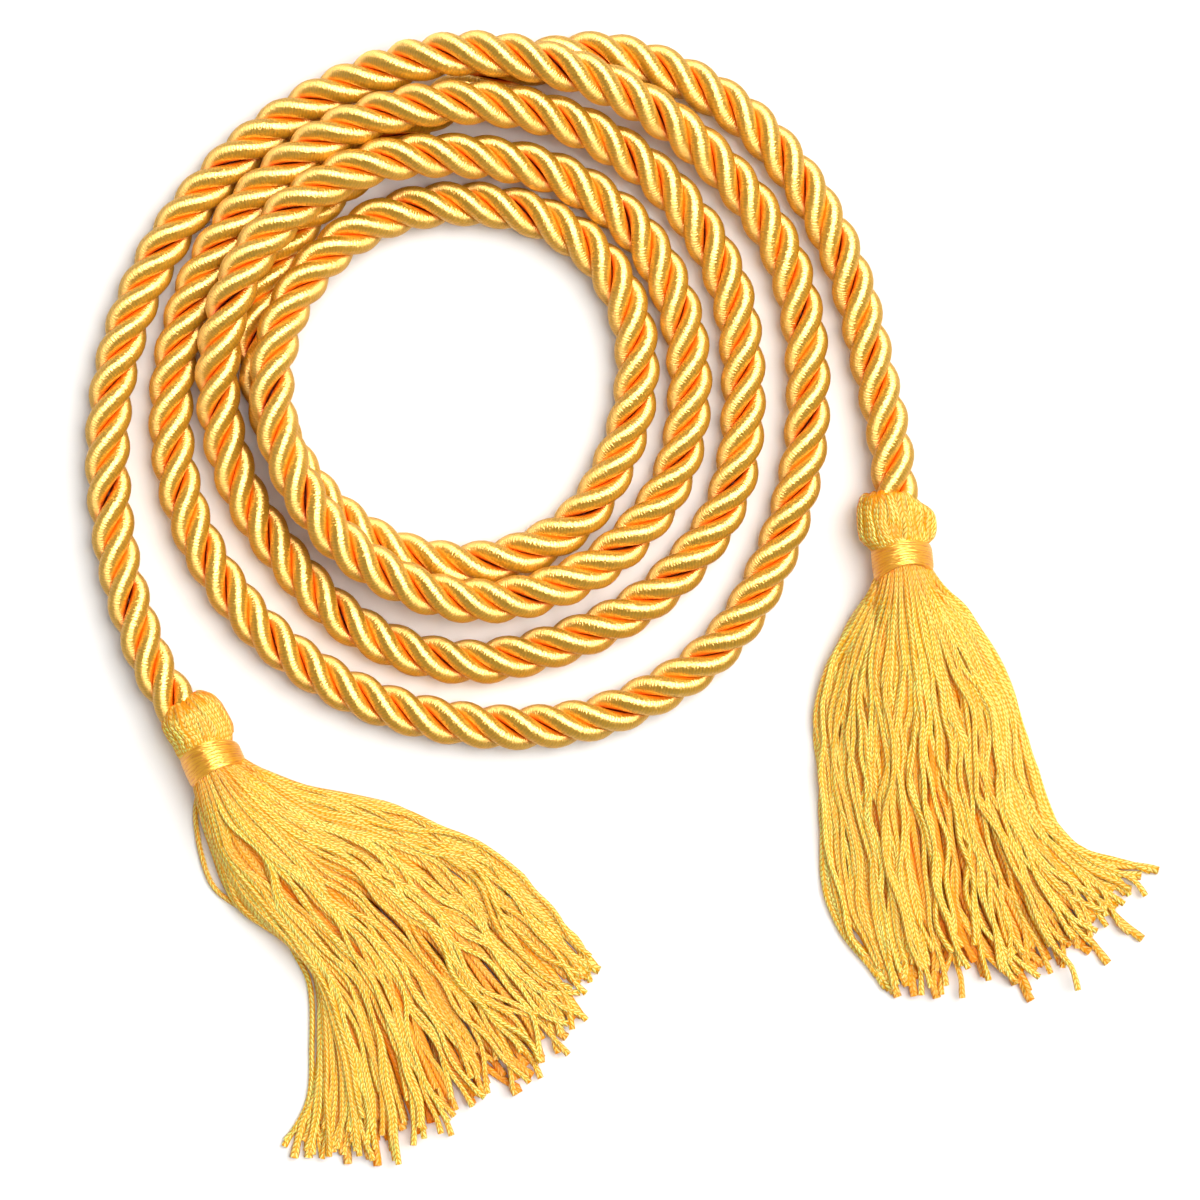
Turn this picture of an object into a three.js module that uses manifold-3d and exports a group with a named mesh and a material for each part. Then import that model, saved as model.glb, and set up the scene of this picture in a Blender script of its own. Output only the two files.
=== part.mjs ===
// An honor cord lying in a loose coil: a twisted rope with a tassel at each end.
// Millimetres, +Z up, the surface that it lies on at Z = 0. Seen from above, +X is right and +Y is up.
import * as THREE from 'three';
import { mergeVertices } from 'three/addons/utils/BufferGeometryUtils.js';
import Module from 'manifold-3d';

const wasm = await Module();
wasm.setup();

// Driving dimensions of the rope
const rope_diameter = 9.2;
const tube_share = 0.92; // three round plies leave grooves, so their even outline is a little slimmer
const rope_sides = 10;
const lead_length = 11; // straight stretch of rope at each tassel's head

// Driving dimensions of a tassel
const head_diameter = 12.8;
const head_length = 9.8;
const head_flat = 0.2; // how far the soft head is pressed down where it lies
const head_folds = 14; // folded threads that show round the head
const fold_depth = 0.05; // as a share of the head's radius
const neck_diameter = 9.8;
const band_length = 6.8;
const band_wall = 0.85;
const band_bulge = 0.15;
const band_shoulder = 0.6; // share of the band's half length at which it reaches its full width
const band_sides = 28;
const skirt_length = 82.4;
const mouth_diameter = 12.6; // the skirt where it comes out of the band
const core_length = 9; // how far the bound core reaches into the skirt
const lock_count = 13;
const lock_steps = 9;
const least_room = 0.6; // for a lock where the threads crowd into the band
const lobe_sides = 12;
const lobe_rows = 8;
const clearance = 0.3; // between pieces that touch
const join_tolerance = 0.03; // slivers finer than this are smoothed away where locks are joined

// Worked out from them
const rope_radius = rope_diameter / 2;
const head_radius = head_diameter / 2;
const neck_radius = neck_diameter / 2;
const mouth_radius = mouth_diameter / 2;
const least_mouth = least_room / 2;
const band_reach = neck_radius + clearance + band_wall + band_bulge;
const axis_height = Math.max(head_radius - head_flat, band_reach);
const head_top = head_length + band_length + clearance;

// The coil, a row for each turn, read clockwise from above in sixteenths of a turn from the angle given.
// radius is from the coil's centre to the middle of the rope; lift is how far the rope rises off the
// surface to pass over another turn, as a share of its diameter.
const sixteenth = 22.5;
const turns = [
  {
    from: 202.5,
    radius: [75.4, 70.0, 66.6, 64.9, 65.2, 67.0, 67.4, 68.6, 70.4, 69.8, 70.8, 73.0, 71.0, 66.8, 64.0],
    lift: [0, 0, 0, 0, 0.14, 0.93, 1.02, 0.27, 0, 0, 0, 0, 0, 0, 0],
  },
  {
    from: 225,
    radius: [61.8, 60.0, 58.0, 56.7, 56.5, 57.1, 57.2, 57.8, 58.2, 57.9, 56.8, 57.9, 56.6, 54.6, 54.4, 52.0],
    lift: [0, 0, 0.02, 0.14, 0.42, 0.8, 1.0, 0.55, 0.1, 0, 0, 0, 0, 0, 0, 0],
  },
  {
    from: 225,
    radius: [48.6, 48.2, 48.6, 49.2, 49.2, 48.4, 46.8, 47.4, 47.8, 46.9, 46.0, 46.0, 45.0, 43.6, 42.0, 39.6],
    lift: [0, 0.03, 0.3, 0.85, 0.97, 0.98, 0.6, 0.15, 0, 0, 0, 0.02, 0.14, 0.42, 0.64, 0.86],
  },
  {
    from: 225,
    radius: [38.0, 37.1, 37.4, 37.8, 38.0, 38.0, 37.6, 38.2, 38.6, 37.2, 35.2, 34.2, 35.0, 35.0, 34.8, 34.8],
    lift: [0.96, 1.0, 0.98, 0.75, 0.38, 0.08, 0, 0, 0, 0, 0, 0, 0, 0, 0, 0],
  },
  {
    from: 225,
    radius: [35.2, 36.6, 39.4, 44.2, 46.6, 49.6, 59.8, 73.2, 79.0, 81.0, 84.0],
    lift: [0, 0, 0, 0, 0, 0, 0, 0, 0, 0, 0],
  },
];

// Each tassel: where the middle of its band's lower edge lies from the coil's centre, how far its axis is
// turned, how far its head leans off that axis as a share of the head's radius, its side lobe, and five
// guide threads from the skirt's left edge to its right edge. A lobe's across and width are shares of the
// head's radius, its from_top and length of the head's length, and its height of the head's diameter.
// A guide's six places, across and along from the band, are shares of the skirt's length.
const tassels = {
  left: {
    x: -48.4,
    y: -77.2,
    turn: 30.7,
    lean: 0.19,
    lobe: null,
    guides: [
      { across: [-0.07, -0.14, -0.125, -0.045, -0.145, -0.3], along: [0.01, 0.12, 0.3, 0.5, 0.71, 0.88] },
      { across: [-0.04, -0.08, -0.06, -0.04, -0.09, -0.18], along: [0.01, 0.17, 0.36, 0.57, 0.78, 0.98] },
      { across: [0, 0.01, 0.06, 0.09, 0.07, 0.04], along: [0.01, 0.2, 0.4, 0.61, 0.82, 1.02] },
      { across: [0.04, 0.11, 0.21, 0.27, 0.3, 0.33], along: [0.01, 0.2, 0.39, 0.6, 0.81, 1.01] },
      { across: [0.07, 0.18, 0.34, 0.46, 0.525, 0.57], along: [0.01, 0.15, 0.3, 0.49, 0.68, 0.88] },
    ],
  },
  right: {
    x: 89,
    y: -37.6,
    turn: 6,
    lean: -0.28,
    lobe: { across: 0.81, from_top: 0.57, width: 0.69, length: 0.78, height: 0.62 },
    guides: [
      { across: [-0.07, -0.15, -0.22, -0.245, -0.23, -0.16], along: [0.01, 0.14, 0.3, 0.49, 0.72, 0.98] },
      { across: [-0.04, -0.1, -0.13, -0.14, -0.13, -0.11], along: [0.01, 0.18, 0.37, 0.56, 0.76, 0.99] },
      { across: [0, 0, 0, -0.01, 0, 0.04], along: [0.01, 0.2, 0.39, 0.59, 0.79, 0.99] },
      { across: [0.04, 0.09, 0.14, 0.15, 0.2, 0.3], along: [0.01, 0.17, 0.36, 0.56, 0.76, 0.99] },
      { across: [0.07, 0.16, 0.23, 0.265, 0.35, 0.55], along: [0.01, 0.12, 0.28, 0.49, 0.69, 0.79] },
    ],
  },
};

// The head, from its top to the band: shares of its length and of its radius
const head_profile = [
  { along: 0, radius: 0.74 },
  { along: 0.08, radius: 0.9 },
  { along: 0.24, radius: 0.99 },
  { along: 0.5, radius: 1 },
  { along: 0.76, radius: 0.96 },
  { along: 1, radius: 0.88 },
];

// Where the head leans furthest, as the share of its length that lies above its top
const lean_start = 0.25;

// The bound threads inside the skirt: shares of the core's length and of the mouth's radius
const core_profile = [
  { along: 0.5, radius: 0.8 },
  { along: 1, radius: 0.5 },
];

// The skirt's pile of threads, at even steps from the band to the ends: its height in the middle and at its
// edges as shares of the head's diameter, and how wide each lock is against the room it has
const skirt_rows = [
  { crown: 0.96, edge: 0.6, fullness: 1.2 },
  { crown: 0.82, edge: 0.36, fullness: 1.2 },
  { crown: 0.66, edge: 0.24, fullness: 1.18 },
  { crown: 0.54, edge: 0.2, fullness: 1.15 },
  { crown: 0.44, edge: 0.18, fullness: 1.1 },
  { crown: 0.32, edge: 0.15, fullness: 0.85 },
];
const mouth_share = 0.2; // share of the skirt over which the round mouth spreads into a pile on the surface

// How far each lock reaches along its guides, and how high it stands in the pile, from left to right
const locks = [
  { reach: 0.98, rise: 0.9 },
  { reach: 1, rise: 1 },
  { reach: 0.96, rise: 0.88 },
  { reach: 0.99, rise: 1 },
  { reach: 0.95, rise: 0.9 },
  { reach: 1, rise: 0.98 },
  { reach: 0.97, rise: 0.86 },
  { reach: 1, rise: 1 },
  { reach: 0.96, rise: 0.9 },
  { reach: 0.99, rise: 1 },
  { reach: 0.95, rise: 0.88 },
  { reach: 1, rise: 1 },
  { reach: 0.98, rise: 0.9 },
];

// One lock's section, from its left foot over the top to its right foot: shares of its half width and height
const lock_section = [
  { side: -1, up: 0 },
  { side: -1, up: 0.5 },
  { side: -0.75, up: 0.84 },
  { side: 0, up: 1 },
  { side: 0.75, up: 0.84 },
  { side: 1, up: 0.5 },
  { side: 1, up: 0 },
];

const rope_finish = new THREE.MeshStandardMaterial({ color: 0xe3a22c, roughness: 0.4, metalness: 0 });
const thread_finish = new THREE.MeshStandardMaterial({ color: 0xf3c544, roughness: 0.55, metalness: 0 });
const band_finish = new THREE.MeshStandardMaterial({ color: 0xf2a830, roughness: 0.35, metalness: 0 });

// A curve whose even shares fall on its own points, so that neighbouring turns have their rings side by side
class RopeRoute extends THREE.CatmullRomCurve3 {
  getUtoTmapping(share) {
    return share;
  }
}

// A point on a tassel's axis, at a distance along it from the band's lower edge
function on_axis(tassel, along, height) {
  const turn = THREE.MathUtils.degToRad(tassel.turn);
  return new THREE.Vector3(tassel.x + Math.sin(turn) * along, tassel.y - Math.cos(turn) * along, height);
}

function coil_points() {
  const points = [];
  for (const turn of turns) {
    turn.radius.forEach((radius, step) => {
      const clock = THREE.MathUtils.degToRad(turn.from - step * sixteenth);
      const height = rope_radius + turn.lift[step] * rope_diameter;
      points.push(new THREE.Vector3(radius * Math.cos(clock), radius * Math.sin(clock), height));
    });
  }
  return points;
}

function rope_points() {
  const lead_height = (rope_radius + axis_height) / 2;
  return [
    on_axis(tassels.left, -head_top, axis_height),
    on_axis(tassels.left, -head_top - lead_length, lead_height),
    ...coil_points(),
    on_axis(tassels.right, -head_top - lead_length, lead_height),
    on_axis(tassels.right, -head_top, axis_height),
  ];
}

function rope_tube() {
  const points = rope_points();
  const tube_radius = rope_radius * tube_share;
  const section = new THREE.Shape();
  for (let side = 0; side < rope_sides; side += 1) {
    const angle = (2 * Math.PI * side) / rope_sides;
    const place = [tube_radius * Math.cos(angle), tube_radius * Math.sin(angle)];
    if (side === 0) {
      section.moveTo(...place);
    } else {
      section.lineTo(...place);
    }
  }
  return new THREE.ExtrudeGeometry(section, {
    steps: points.length - 1,
    bevelEnabled: false,
    extrudePath: new RopeRoute(points),
  });
}

// A closed skin over rings of equal count, with a fan at each end
function loft(rings) {
  const count = rings[0].length;
  const index = [];
  for (let row = 0; row < rings.length - 1; row += 1) {
    for (let side = 0; side < count; side += 1) {
      const next = (side + 1) % count;
      const here = row * count;
      const there = here + count;
      index.push(here + side, there + side, there + next);
      index.push(here + side, there + next, here + next);
    }
  }
  const last = (rings.length - 1) * count;
  for (let side = 1; side < count - 1; side += 1) {
    index.push(0, side, side + 1);
    index.push(last, last + side + 1, last + side);
  }
  const geometry = new THREE.BufferGeometry().setFromPoints(rings.flat());
  geometry.setIndex(index);
  return geometry;
}

function to_solid(geometry) {
  geometry.deleteAttribute('normal');
  geometry.deleteAttribute('uv');
  const merged = mergeVertices(geometry);
  const mesh = new wasm.Mesh({
    numProp: 3,
    vertProperties: new Float32Array(merged.attributes.position.array),
    triVerts: new Uint32Array(merged.index.array),
  });
  return new wasm.Manifold(mesh);
}

function from_solid(solid) {
  const mesh = solid.getMesh();
  const geometry = new THREE.BufferGeometry();
  geometry.setAttribute('position', new THREE.BufferAttribute(mesh.vertProperties, 3));
  geometry.setIndex(new THREE.BufferAttribute(mesh.triVerts, 1));
  geometry.computeVertexNormals();
  return geometry;
}

// A ring round the tassel's axis, pressed flat where it would reach below the surface
function axis_ring(along, radius, lean, depth) {
  const ring = [];
  for (let side = 0; side < head_folds * 2; side += 1) {
    const angle = (Math.PI * side) / head_folds;
    const reach = radius * (side % 2 === 0 ? 1 : 1 - depth);
    const height = Math.max(axis_height + reach * Math.sin(angle), 0);
    ring.push(new THREE.Vector3(lean - reach * Math.cos(angle), -along, height));
  }
  return ring;
}

// Threads folded over the rope's end, then bound into the neck, which runs on as the skirt's core
function head_and_core(tassel) {
  const rings = head_profile.map((row) => {
    const along = row.along * head_length - head_length - band_length;
    const lean = tassel.lean * head_radius * Math.sin(Math.PI * Math.min(row.along + lean_start, 1));
    return axis_ring(along, row.radius * head_radius, lean, fold_depth);
  });
  rings.push(axis_ring(-band_length, neck_radius, 0, 0));
  rings.push(axis_ring(0, neck_radius, 0, 0));
  for (const row of core_profile) {
    rings.push(axis_ring(row.along * core_length, row.radius * mouth_radius, 0, 0));
  }
  return to_solid(loft(rings));
}

function side_lobe(lobe) {
  const lobe_geometry = new THREE.SphereGeometry(0.5, lobe_sides, lobe_rows);
  lobe_geometry.scale(lobe.width * head_radius, lobe.length * head_length, lobe.height * head_diameter);
  const from_band = (1 - lobe.from_top) * head_length;
  lobe_geometry.translate(lobe.across * head_radius, band_length + from_band, axis_height);
  return to_solid(lobe_geometry);
}

// A place on the skirt: spread from 0 at its left edge to 1 at its right edge, run from the band to the ends
function skirt_place(guide_curves, spread, run) {
  const across_skirt = guide_curves.map((curve) => curve.getPoint(run));
  return new THREE.CatmullRomCurve3(across_skirt).getPoint(spread);
}

function skirt_row(run) {
  const place = run * (skirt_rows.length - 1);
  const row = Math.min(Math.floor(place), skirt_rows.length - 2);
  const share = place - row;
  const mix = (column) => THREE.MathUtils.lerp(skirt_rows[row][column], skirt_rows[row + 1][column], share);
  return { crown: mix('crown'), edge: mix('edge'), fullness: mix('fullness') };
}

function lock_ring(guide_curves, spread, run, rise) {
  const half_room = 0.5 / (lock_count - 1);
  const half_step = 0.5 / lock_steps;
  const middle = skirt_place(guide_curves, spread, run);
  const left = skirt_place(guide_curves, Math.max(spread - half_room, 0), run);
  const right = skirt_place(guide_curves, Math.min(spread + half_room, 1), run);
  const before = skirt_place(guide_curves, spread, Math.max(run - half_step, 0));
  const after = skirt_place(guide_curves, spread, Math.min(run + half_step, 1));
  const heading = after.sub(before).normalize();
  const sideways = new THREE.Vector3(-heading.y, heading.x, 0);
  const row = skirt_row(run);
  const room = Math.max(right.distanceTo(left), least_room) / (spread === 0 || spread === 1 ? 1 : 2);
  const half_width = room * row.fullness;
  const off_middle = 2 * spread - 1;
  const pile = head_diameter * rise * THREE.MathUtils.lerp(row.crown, row.edge, off_middle * off_middle);
  const mouth = Math.sqrt(Math.max(mouth_radius ** 2 - middle.x ** 2, least_mouth ** 2));
  const settled = THREE.MathUtils.smoothstep(run, 0, mouth_share);
  const top = THREE.MathUtils.lerp(axis_height + mouth, pile, settled);
  const foot = THREE.MathUtils.lerp(Math.max(axis_height - mouth, 0), 0, settled);
  return lock_section.map(({ side, up }) => {
    const point = middle.clone().addScaledVector(sideways, side * half_width);
    point.z = foot + (top - foot) * up;
    return point;
  });
}

function lock_solid(guide_curves, lock, number) {
  const spread = number / (lock_count - 1);
  const rings = [];
  for (let step = 0; step <= lock_steps; step += 1) {
    rings.push(lock_ring(guide_curves, spread, (lock.reach * step) / lock_steps, lock.rise));
  }
  return to_solid(loft(rings));
}

function tassel_geometry(tassel) {
  const guide_curves = tassel.guides.map(({ across, along }) => new THREE.CatmullRomCurve3(
    across.map((share, place) => new THREE.Vector3(share * skirt_length, -along[place] * skirt_length, 0)),
  ));
  let solid = head_and_core(tassel);
  if (tassel.lobe) {
    solid = solid.add(side_lobe(tassel.lobe));
  }
  for (let number = 0; number < lock_count; number += 1) {
    solid = solid.add(lock_solid(guide_curves, locks[number % locks.length], number));
  }
  return from_solid(solid.simplify(join_tolerance));
}

// The thread wound round the neck, as a closed sleeve that is a little fuller in the middle
function band_geometry() {
  const inner = neck_radius + clearance;
  const outer = inner + band_wall;
  const half = band_length / 2 - clearance;
  const profile = [
    new THREE.Vector2(inner, -half),
    new THREE.Vector2(outer - band_bulge, -half),
    new THREE.Vector2(outer, -half * band_shoulder),
    new THREE.Vector2(outer + band_bulge, 0),
    new THREE.Vector2(outer, half * band_shoulder),
    new THREE.Vector2(outer - band_bulge, half),
    new THREE.Vector2(inner, half),
    new THREE.Vector2(inner, -half),
  ];
  const sleeve = new THREE.LatheGeometry(profile, band_sides);
  sleeve.translate(0, band_length / 2, 0);
  return sleeve;
}

function tassel_group(side, tassel) {
  const group = new THREE.Group();
  const body = new THREE.Mesh(tassel_geometry(tassel), thread_finish);
  body.name = `tassel_${side}`;
  const band = new THREE.Mesh(band_geometry(), band_finish);
  band.name = `band_${side}`;
  band.position.z = axis_height;
  group.add(body, band);
  group.position.set(tassel.x, tassel.y, 0);
  group.rotation.z = THREE.MathUtils.degToRad(tassel.turn);
  return group;
}

// The two tassels stand in the frame with the middle of their common box at the origin
const tassel_pair = new THREE.Group();
tassel_pair.add(tassel_group('left', tassels.left), tassel_group('right', tassels.right));
const pair_middle = new THREE.Box3().setFromObject(tassel_pair, true).getCenter(new THREE.Vector3());

const rope = new THREE.Mesh(rope_tube(), rope_finish);
rope.name = 'rope';

const group = new THREE.Group();
group.add(rope, tassel_pair);
group.position.set(-pair_middle.x, -pair_middle.y, 0);

export default group;
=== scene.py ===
"""An honor cord on a pale surface: a twisted gold rope in a loose coil with a thread tassel at each end."""

import math

import bpy
import numpy as np
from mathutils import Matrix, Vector


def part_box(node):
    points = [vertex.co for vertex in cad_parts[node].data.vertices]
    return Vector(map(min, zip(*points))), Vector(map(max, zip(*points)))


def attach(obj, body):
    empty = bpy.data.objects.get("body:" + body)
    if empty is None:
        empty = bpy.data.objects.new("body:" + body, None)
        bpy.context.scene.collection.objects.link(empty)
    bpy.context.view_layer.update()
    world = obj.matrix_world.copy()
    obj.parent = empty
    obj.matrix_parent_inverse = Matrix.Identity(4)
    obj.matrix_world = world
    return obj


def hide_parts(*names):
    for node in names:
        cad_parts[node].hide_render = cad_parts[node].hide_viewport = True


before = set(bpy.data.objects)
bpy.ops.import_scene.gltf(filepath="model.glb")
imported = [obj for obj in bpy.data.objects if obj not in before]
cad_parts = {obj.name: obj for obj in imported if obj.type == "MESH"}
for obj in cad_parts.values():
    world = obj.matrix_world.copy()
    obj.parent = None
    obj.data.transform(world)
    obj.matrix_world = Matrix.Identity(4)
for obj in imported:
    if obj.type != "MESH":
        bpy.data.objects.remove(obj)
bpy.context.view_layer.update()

bl_info = {
    "name": "Honor Cord",
    "version": (1, 0, 0),
    "blender": (4, 5, 0),
    "location": "View3D > Sidebar > Honor Cord",
    "description": "Builds a coiled honor cord: twisted rope, tassel heads, bound necks and thread skirts",
    "category": "Add Mesh",
}

MM = 0.001

# The coil, a row for each turn, read clockwise from above in sixteenths of a turn from the angle given.
# radius is in millimetres from the coil's centre to the middle of the rope; lift is how far the rope rises
# off the surface to pass over another turn, as a share of its diameter.
SIXTEENTH = 22.5
TURNS = [
    {
        "from": 202.5,
        "radius": [75.4, 70, 66.6, 64.9, 65.2, 67, 67.4, 68.6, 70.4, 69.8, 70.8, 73, 71, 66.8, 64],
        "lift": [0, 0, 0, 0, 0.14, 0.93, 1.02, 0.27, 0, 0, 0, 0, 0, 0, 0],
    },
    {
        "from": 225,
        "radius": [61.8, 60, 58, 56.7, 56.5, 57.1, 57.2, 57.8, 58.2, 57.9, 56.8, 57.9, 56.6, 54.6, 54.4, 52],
        "lift": [0, 0, 0.02, 0.14, 0.42, 0.8, 1, 0.55, 0.1, 0, 0, 0, 0, 0, 0, 0],
    },
    {
        "from": 225,
        "radius": [48.6, 48.2, 48.6, 49.2, 49.2, 48.4, 46.8, 47.4, 47.8, 46.9, 46, 46, 45, 43.6, 42, 39.6],
        "lift": [0, 0.03, 0.3, 0.85, 0.97, 0.98, 0.6, 0.15, 0, 0, 0, 0.02, 0.14, 0.42, 0.64, 0.86],
    },
    {
        "from": 225,
        "radius": [38, 37.1, 37.4, 37.8, 38, 38, 37.6, 38.2, 38.6, 37.2, 35.2, 34.2, 35, 35, 34.8, 34.8],
        "lift": [0.96, 1, 0.98, 0.75, 0.38, 0.08, 0, 0, 0, 0, 0, 0, 0, 0, 0, 0],
    },
    {
        "from": 225,
        "radius": [35.2, 36.6, 39.4, 44.2, 46.6, 49.6, 59.8, 73.2, 79, 81, 84],
        "lift": [0, 0, 0, 0, 0, 0, 0, 0, 0, 0, 0],
    },
]

# The middle of the right band's lower edge from the coil's centre, in millimetres
RIGHT_X, RIGHT_Y = 89, -37.6

# Each tassel: the turn of its axis in degrees, its head's lean and the radius of its head's top as shares of
# the head's radius, how much of the inner colour that top takes as painted shade, how far its folds drop
# towards the rope as a share of its length, its band's shear, the shift, slope and arch of the band's lower
# and top edges, with lengths in millimetres, and five guide threads from the skirt's left edge to its right
# edge. A guide is two rows of places, across and along the skirt, as shares of its length. Slits are where
# the upper threads
# part: a slit's place as shares of the skirt's width and length, half its length as such a share, half its
# width in millimetres, and whether it is deep, so that all threads part. Strays are single threads that stand
# off the skirt's left edge, given as guides are.
TASSELS = {
    "left": {
        "turn": 30.7,
        "lean": 0.19,
        "top": 0.62,
        "top_shade": 0.45,
        "top_drop": 0.09,
        "shear": 0.14,
        "low_edge": {"shift": -0.4, "slope": -0.1, "arch": 1.9},
        "top_edge": {"shift": -1.2, "slope": -0.28, "arch": 2.0},
        "guides": [
            ([-0.07, -0.102, -0.122, -0.045, -0.145, -0.3], [0.01, 0.12, 0.3, 0.5, 0.71, 0.88]),
            ([-0.04, -0.08, -0.06, -0.04, -0.09, -0.18], [0.01, 0.17, 0.36, 0.57, 0.78, 0.98]),
            ([0, 0.01, 0.06, 0.09, 0.07, 0.04], [0.01, 0.2, 0.4, 0.61, 0.82, 1.02]),
            ([0.04, 0.11, 0.21, 0.27, 0.3, 0.33], [0.01, 0.2, 0.39, 0.6, 0.81, 1.01]),
            ([0.07, 0.18, 0.34, 0.46, 0.525, 0.57], [0.01, 0.15, 0.3, 0.49, 0.68, 0.88]),
        ],
        "slits": [
            (0.375, 0.22, 0.08, 2.1, False),
            (0.42, 0.33, 0.07, 0.7, False),
            (0.57, 0.39, 0.07, 0.8, False),
            (0.7, 0.6, 0.09, 0.6, False),
            (0.3, 0.72, 0.08, 0.7, False),
            (0.85, 0.45, 0.08, 0.5, False),
        ],
        "strays": [
            ([-0.06, -0.102, -0.143, -0.154, -0.136, -0.04], [0.0, 0.052, 0.155, 0.225, 0.281, 0.43]),
            ([-0.05, -0.065, -0.073, -0.148, -0.224, -0.33], [0.38, 0.45, 0.547, 0.686, 0.796, 0.86]),
            ([-0.03, -0.046, -0.08, -0.112, -0.222, -0.32], [0.45, 0.563, 0.65, 0.735, 0.811, 0.85]),
        ],
    },
    "right": {
        "turn": 6,
        "lean": -0.28,
        "top": 0.8,
        "top_shade": 0.1,
        "top_drop": 0.03,
        "shear": 0.0,
        "low_edge": {"shift": 0.5, "slope": 0.08, "arch": 1.9},
        "top_edge": {"shift": 0.0, "slope": -0.06, "arch": 0.7},
        "guides": [
            ([-0.07, -0.165, -0.24, -0.252, -0.262, -0.15], [0.01, 0.13, 0.3, 0.5, 0.77, 0.98]),
            ([-0.04, -0.1, -0.13, -0.14, -0.13, -0.11], [0.01, 0.18, 0.37, 0.56, 0.76, 0.99]),
            ([0, 0, 0, -0.01, 0, 0.04], [0.01, 0.2, 0.39, 0.59, 0.79, 0.99]),
            ([0.04, 0.09, 0.14, 0.15, 0.2, 0.3], [0.01, 0.17, 0.36, 0.56, 0.76, 0.99]),
            ([0.07, 0.16, 0.23, 0.265, 0.35, 0.55], [0.01, 0.12, 0.28, 0.49, 0.69, 0.79]),
        ],
        "slits": [
            (0.32, 0.44, 0.06, 0.8, False),
            (0.27, 0.61, 0.05, 1.2, False),
            (0.12, 0.68, 0.06, 0.6, False),
            (0.38, 0.6, 0.05, 0.5, False),
            (0.6, 0.3, 0.07, 0.5, False),
            (0.5, 0.87, 0.06, 0.8, False),
            (0.8, 0.55, 0.08, 0.6, False),
            (0.05, 0.89, 0.05, 1.8, True),
        ],
        "strays": [],
    },
}

# The skirt's pile of threads at even steps from the band to the ends: its height in the middle and at its
# edges, as shares of the head's diameter
PILE_CROWN = [0.96, 0.82, 0.66, 0.54, 0.44, 0.32]
PILE_EDGE = [0.6, 0.36, 0.24, 0.2, 0.18, 0.15]
MOUTH_SHARE = 0.2  # share of the skirt over which its round mouth spreads into a pile on the surface

# The photograph's frame: its middle from the coil's centre, and its width, in millimetres
PHOTO_X, PHOTO_Y, PHOTO_WIDTH = 28, -42, 240


def linear_colour(sRGB):
    """A hex colour as three linear numbers."""
    values = [int(sRGB[place : place + 2], 16) / 255 for place in (1, 3, 5)]
    return [v / 12.92 if v <= 0.04045 else ((v + 0.055) / 1.055) ** 2.4 for v in values]


def length_size(name, description, millimetres):
    """A size that a user can change, shown as a length."""
    default = millimetres * MM
    return bpy.props.FloatProperty(name=name, description=description, default=default, unit="LENGTH")


def lamp_power(name, description, watts):
    """A lamp's power that a user can change."""
    return bpy.props.FloatProperty(name=name, description=description, default=watts, unit="POWER")


def colour_choice(name, description, sRGB):
    """A colour that a user can change."""
    return bpy.props.FloatVectorProperty(
        name=name, description=description, default=linear_colour(sRGB), subtype="COLOR", size=3, min=0, max=1
    )


class RopeSettings(bpy.types.PropertyGroup):
    """Sizes and colours of the twisted rope."""

    diameter: length_size("Diameter", "Rope diameter over its three plies", 9.2)
    lay: length_size("Lay length", "Length of rope in one full turn of a ply", 22)
    lead: length_size("Lead", "Straight stretch of rope at each tassel's head", 11)
    tuck: length_size("Tuck", "How far the rope's end reaches into a tassel's head", 3)
    gimp_pitch: length_size("Gimp pitch", "Spacing of the yarn wound round each ply", 0.5)
    gold: colour_choice("Gold", "Wound yarn in the light", "#DCA61E")
    # painted shade: the lines between turns of yarn are darker in the valleys
    valley_shade: colour_choice("Amber", "Lines between the turns of yarn", "#A0700A")
    # painted light and shade round the ply: orange for light passed from ply to ply on the flanks and down in
    # the groove, and dark shade where two plies touch
    orange: colour_choice("Orange", "Flanks of the plies", "#F29A10")
    groove: colour_choice("Groove", "Yarn down between the plies", "#E4600C")
    seam: colour_choice("Seam", "Where two plies touch", "#640E00")


class TasselSettings(bpy.types.PropertyGroup):
    """Sizes and colours of the two tassels."""

    head_diameter: length_size("Head diameter", "Across the folded threads", 12.8)
    head_length: length_size("Head length", "From the rope to the band", 9.8)
    band_length: length_size("Band length", "Along the neck", 6.8)
    neck_diameter: length_size("Neck diameter", "Threads inside the band", 9.8)
    mouth_diameter: length_size("Mouth diameter", "Skirt where it leaves the band", 12.6)
    skirt_length: length_size("Skirt length", "From the band to the thread ends", 82.4)
    thread: length_size("Thread thickness", "Across one knitted thread", 1.15)
    stitch: length_size("Stitch length", "Length of one stitch of the knitted thread", 1.05)
    binding_pitch: length_size("Binding pitch", "Spacing of the turns wound round the neck", 0.68)
    # the raised loops' pale is a painted highlight; the dark line between two loops and the inner colour deep
    # in the skirt are painted shade, the inner also painted bounce light
    pale: colour_choice("Pale", "Raised loops of the knitted thread", "#FFF888")
    yellow: colour_choice("Yellow", "Sides of the loops", "#FFB212")
    # painted shade: the dark line in the crease between two loops
    crease_shade: colour_choice("Tick", "Dark line between two loops", "#A0740A")
    # painted shade and bounce light for threads deep in the skirt and head
    inner: colour_choice("Inner", "Threads deep in the skirt", "#FF940E")
    binding: colour_choice("Binding", "Yarn wound round the neck", "#FFB828")
    # painted shade: the binding's lines are darker in the valleys between its turns
    binding_valley_shade: colour_choice("Binding lines", "Lines between the turns of the binding", "#E87E0C")


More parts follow.
